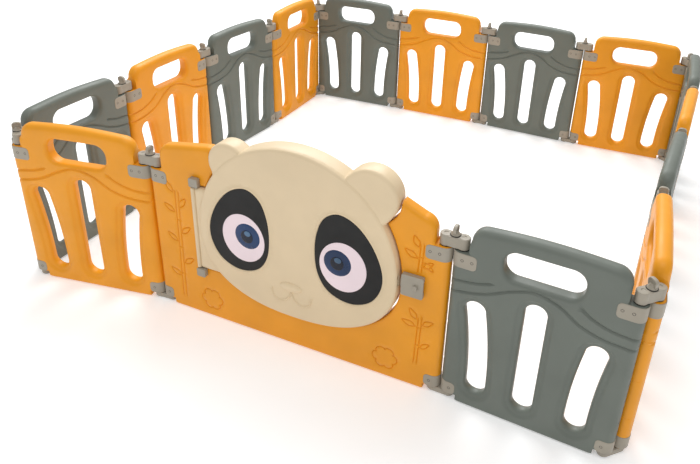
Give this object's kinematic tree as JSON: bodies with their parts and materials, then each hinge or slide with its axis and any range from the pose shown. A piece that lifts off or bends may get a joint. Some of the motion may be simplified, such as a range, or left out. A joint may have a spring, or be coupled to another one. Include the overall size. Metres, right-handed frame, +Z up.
{
  "type": "playpen",
  "caption": "Baby playpen: a square loop of slotted plastic panels joined by folding corner links, with a wide gate whose door is an animal's head.",
  "frame": {"origin": "on the floor, under the middle of the pen's overall box", "axes": "+Z up, +X along the gate to the right as seen from outside, +Y from the gate into the pen"},
  "size_m": [2.0994, 2.1202, 0.695],
  "materials": {
    "yellow_plastic": "satin blow-moulded plastic, fine grain",
    "grey_plastic": "satin blow-moulded plastic, fine grain",
    "link_plastic": "satin injection-moulded plastic",
    "cream_plastic": "satin blow-moulded plastic, fine grain",
    "eye_patch": "satin printed plastic",
    "eye_white": "glossy",
    "eye_blue": "glossy",
    "screw_steel": "zinc plated",
    "foot_rubber": "matt"
  },
  "bodies": {
    "gate": {"gate_frame": "yellow_plastic", "door_bracket_upper": "link_plastic", "door_bracket_lower": "link_plastic", "latch_housing": "link_plastic"},
    "door": {"panda_door": "cream_plastic"},
    "bolt": {"latch_bolt": "link_plastic"},
    "panel_front_right": {"panel_front_right": "grey_plastic"},
    "panel_right_1": {"panel_right_1": "yellow_plastic"},
    "panel_right_2": {"panel_right_2": "grey_plastic"},
    "panel_right_3": {"panel_right_3": "yellow_plastic"},
    "panel_right_4": {"panel_right_4": "grey_plastic"},
    "panel_back_4": {"panel_back_4": "yellow_plastic"},
    "panel_back_3": {"panel_back_3": "grey_plastic"},
    "panel_back_2": {"panel_back_2": "yellow_plastic"},
    "panel_back_1": {"panel_back_1": "grey_plastic"},
    "panel_left_4": {"panel_left_4": "yellow_plastic"},
    "panel_left_3": {"panel_left_3": "grey_plastic"},
    "panel_left_2": {"panel_left_2": "yellow_plastic"},
    "panel_left_1": {"panel_left_1": "grey_plastic"},
    "panel_front_left": {"panel_front_left": "yellow_plastic"},
    "link_1": {"top_link_1": "link_plastic", "bottom_link_1": "link_plastic"},
    "link_2": {"top_link_2": "link_plastic", "bottom_link_2": "link_plastic"},
    "link_3": {"top_link_3": "link_plastic", "bottom_link_3": "link_plastic"},
    "link_4": {"top_link_4": "link_plastic", "bottom_link_4": "link_plastic"},
    "link_5": {"top_link_5": "link_plastic", "bottom_link_5": "link_plastic"},
    "link_6": {"top_link_6": "link_plastic", "bottom_link_6": "link_plastic"},
    "link_7": {"top_link_7": "link_plastic", "bottom_link_7": "link_plastic"},
    "link_8": {"top_link_8": "link_plastic", "bottom_link_8": "link_plastic"},
    "link_9": {"top_link_9": "link_plastic", "bottom_link_9": "link_plastic"},
    "link_10": {"top_link_10": "link_plastic", "bottom_link_10": "link_plastic"},
    "link_11": {"top_link_11": "link_plastic", "bottom_link_11": "link_plastic"},
    "link_12": {"top_link_12": "link_plastic", "bottom_link_12": "link_plastic"},
    "link_13": {"top_link_13": "link_plastic", "bottom_link_13": "link_plastic"},
    "link_14": {"top_link_14": "link_plastic", "bottom_link_14": "link_plastic"},
    "link_15": {"top_link_15": "link_plastic", "bottom_link_15": "link_plastic"}
  },
  "joints": [
    {"name": "link_1_pivot", "type": "hinge", "parent": "gate", "child": "link_1", "pos_m": [0.45625, -0.95496, 0], "axis": [0, 0, 1], "range_deg": [0, 1.5]},
    {"name": "panel_front_right_pivot", "type": "hinge", "parent": "link_1", "child": "panel_front_right", "pos_m": [0.50623, -0.95627, 0], "axis": [0, 0, 1], "range_deg": [0, 1.5]},
    {"name": "link_2_pivot", "type": "hinge", "parent": "panel_front_right", "child": "link_2", "pos_m": [0.95561, -0.97982, 0], "axis": [0, 0, 1], "range_deg": [0, 42]},
    {"name": "panel_right_1_pivot", "type": "hinge", "parent": "link_2", "child": "panel_right_1", "pos_m": [0.99097, -0.94446, 0], "axis": [0, 0, 1], "range_deg": [0, 42]},
    {"name": "link_3_pivot", "type": "hinge", "parent": "panel_right_1", "child": "link_3", "pos_m": [0.96742, -0.49508, 0], "axis": [0, 0, 1], "range_deg": [-86.5, 0]},
    {"name": "panel_right_2_pivot", "type": "hinge", "parent": "link_3", "child": "panel_right_2", "pos_m": [0.96785, -0.44508, 0], "axis": [0, 0, 1], "range_deg": [-86.5, 0]},
    {"name": "pen_fold", "type": "hinge", "parent": "panel_right_2", "child": "link_4", "pos_m": [0.99924, 0.00382, 0], "axis": [0, 0, 1], "range_deg": [0, 89.5]},
    {"name": "panel_right_3_pivot", "type": "hinge", "parent": "link_4", "child": "panel_right_3", "pos_m": [1.00229, 0.05373, 0], "axis": [0, 0, 1], "range_deg": [0, 89.5]},
    {"name": "link_5_pivot", "type": "hinge", "parent": "panel_right_3", "child": "link_5", "pos_m": [1.02585, 0.50311, 0], "axis": [0, 0, 1], "range_deg": [-92, 0]},
    {"name": "panel_right_4_pivot", "type": "hinge", "parent": "link_5", "child": "panel_right_4", "pos_m": [1.02672, 0.55311, 0], "axis": [0, 0, 1], "range_deg": [-92, 0]},
    {"name": "link_6_pivot", "type": "hinge", "parent": "panel_right_4", "child": "link_6", "pos_m": [1.01886, 1.00304, 0], "axis": [0, 0, 1], "range_deg": [0, 44]},
    {"name": "panel_back_4_pivot", "type": "hinge", "parent": "link_6", "child": "panel_back_4", "pos_m": [0.9823, 1.03714, 0], "axis": [0, 0, 1], "range_deg": [0, 44]},
    {"name": "link_7_pivot", "type": "hinge", "parent": "panel_back_4", "child": "link_7", "pos_m": [0.53291, 1.01359, 0], "axis": [0, 0, 1], "range_deg": [0, 2]},
    {"name": "panel_back_3_pivot", "type": "hinge", "parent": "link_7", "child": "panel_back_3", "pos_m": [0.48292, 1.01271, 0], "axis": [0, 0, 1], "range_deg": [0, 2]},
    {"name": "link_8_pivot", "type": "hinge", "parent": "panel_back_3", "child": "link_8", "pos_m": [0.03299, 1.02057, 0], "axis": [0, 0, 1], "range_deg": [-1.43, 0]},
    {"name": "link_15_pivot", "type": "hinge", "parent": "gate", "child": "link_15", "pos_m": [-0.49375, -0.95496, 0], "axis": [0, 0, 1], "range_deg": [-5, 0]},
    {"name": "panel_front_left_pivot", "type": "hinge", "parent": "link_15", "child": "panel_front_left", "pos_m": [-0.54356, -0.95931, 0], "axis": [0, 0, 1], "range_deg": [-5, 0]},
    {"name": "link_14_pivot", "type": "hinge", "parent": "panel_front_left", "child": "link_14", "pos_m": [-0.98673, -1.03746, 0], "axis": [0, 0, 1], "range_deg": [-40, 0]},
    {"name": "panel_left_1_pivot", "type": "hinge", "parent": "link_14", "child": "panel_left_1", "pos_m": [-1.02503, -1.00532, 0], "axis": [0, 0, 1], "range_deg": [-40, 0]},
    {"name": "link_13_pivot", "type": "hinge", "parent": "panel_left_1", "child": "link_13", "pos_m": [-1.02503, -0.55532, 0], "axis": [0, 0, 1], "range_deg": [0, 89.9]},
    {"name": "panel_left_2_pivot", "type": "hinge", "parent": "link_13", "child": "panel_left_2", "pos_m": [-1.02512, -0.50532, 0], "axis": [0, 0, 1], "range_deg": [0, 89.9]},
    {"name": "link_12_pivot", "type": "hinge", "parent": "panel_left_2", "child": "link_12", "pos_m": [-1.02672, -0.05532, 0], "axis": [0, 0, 1], "range_deg": [-87.9, 0]},
    {"name": "panel_left_3_pivot", "type": "hinge", "parent": "link_12", "child": "panel_left_3", "pos_m": [-1.02506, -0.00535, 0], "axis": [0, 0, 1], "range_deg": [-87.9, 0]},
    {"name": "link_11_pivot", "type": "hinge", "parent": "panel_left_3", "child": "link_11", "pos_m": [-0.99367, 0.44356, 0], "axis": [0, 0, 1], "range_deg": [0, 87.5]},
    {"name": "panel_left_4_pivot", "type": "hinge", "parent": "link_11", "child": "panel_left_4", "pos_m": [-0.99236, 0.49354, 0], "axis": [0, 0, 1], "range_deg": [0, 87.5]},
    {"name": "link_10_pivot", "type": "hinge", "parent": "panel_left_4", "child": "link_10", "pos_m": [-1.00021, 0.94347, 0], "axis": [0, 0, 1], "range_deg": [-46, 0]},
    {"name": "panel_back_1_pivot", "type": "hinge", "parent": "link_10", "child": "panel_back_1", "pos_m": [-0.96611, 0.98004, 0], "axis": [0, 0, 1], "range_deg": [-46, 0]},
    {"name": "link_9_pivot", "type": "hinge", "parent": "panel_back_1", "child": "link_9", "pos_m": [-0.51673, 1.00359, 0], "axis": [0, 0, 1], "range_deg": [0, 0.579]},
    {"name": "panel_back_2_pivot", "type": "hinge", "parent": "link_9", "child": "panel_back_2", "pos_m": [-0.46677, 1.0057, 0], "axis": [0, 0, 1], "range_deg": [0, 0.579]},
    {"name": "door_swing", "type": "hinge", "parent": "gate", "child": "door", "pos_m": [-0.34175, -0.98596, 0], "axis": [0, 0, 1], "range_deg": [-100, 0]},
    {"name": "latch_slide", "type": "slide", "parent": "gate", "child": "bolt", "axis": [-1, 0, 0], "range_m": [0, 0.012]}
  ],
  "couplings": [
    {"joint": "link_1_pivot", "follows": "pen_fold", "ratio": 0.01676},
    {"joint": "panel_front_right_pivot", "follows": "pen_fold", "ratio": 0.01676},
    {"joint": "link_2_pivot", "follows": "pen_fold", "ratio": 0.46927},
    {"joint": "panel_right_1_pivot", "follows": "pen_fold", "ratio": 0.46927},
    {"joint": "link_3_pivot", "follows": "pen_fold", "ratio": -0.96648},
    {"joint": "panel_right_2_pivot", "follows": "pen_fold", "ratio": -0.96648},
    {"joint": "panel_right_3_pivot", "follows": "pen_fold", "ratio": 1},
    {"joint": "link_5_pivot", "follows": "pen_fold", "ratio": -1.0279},
    {"joint": "panel_right_4_pivot", "follows": "pen_fold", "ratio": -1.0279},
    {"joint": "link_6_pivot", "follows": "pen_fold", "ratio": 0.49162},
    {"joint": "panel_back_4_pivot", "follows": "pen_fold", "ratio": 0.49162},
    {"joint": "link_7_pivot", "follows": "pen_fold", "ratio": 0.022346},
    {"joint": "panel_back_3_pivot", "follows": "pen_fold", "ratio": 0.022346},
    {"joint": "link_8_pivot", "follows": "pen_fold", "ratio": -0.015899},
    {"joint": "link_15_pivot", "follows": "pen_fold", "ratio": -0.055866},
    {"joint": "panel_front_left_pivot", "follows": "pen_fold", "ratio": -0.055866},
    {"joint": "link_14_pivot", "follows": "pen_fold", "ratio": -0.44693},
    {"joint": "panel_left_1_pivot", "follows": "pen_fold", "ratio": -0.44693},
    {"joint": "link_13_pivot", "follows": "pen_fold", "ratio": 1.0045},
    {"joint": "panel_left_2_pivot", "follows": "pen_fold", "ratio": 1.0045},
    {"joint": "link_12_pivot", "follows": "pen_fold", "ratio": -0.98211},
    {"joint": "panel_left_3_pivot", "follows": "pen_fold", "ratio": -0.98211},
    {"joint": "link_11_pivot", "follows": "pen_fold", "ratio": 0.97765},
    {"joint": "panel_left_4_pivot", "follows": "pen_fold", "ratio": 0.97765},
    {"joint": "link_10_pivot", "follows": "pen_fold", "ratio": -0.51397},
    {"joint": "panel_back_1_pivot", "follows": "pen_fold", "ratio": -0.51397},
    {"joint": "link_9_pivot", "follows": "pen_fold", "ratio": 0.006448},
    {"joint": "panel_back_2_pivot", "follows": "pen_fold", "ratio": 0.006448}
  ]
}
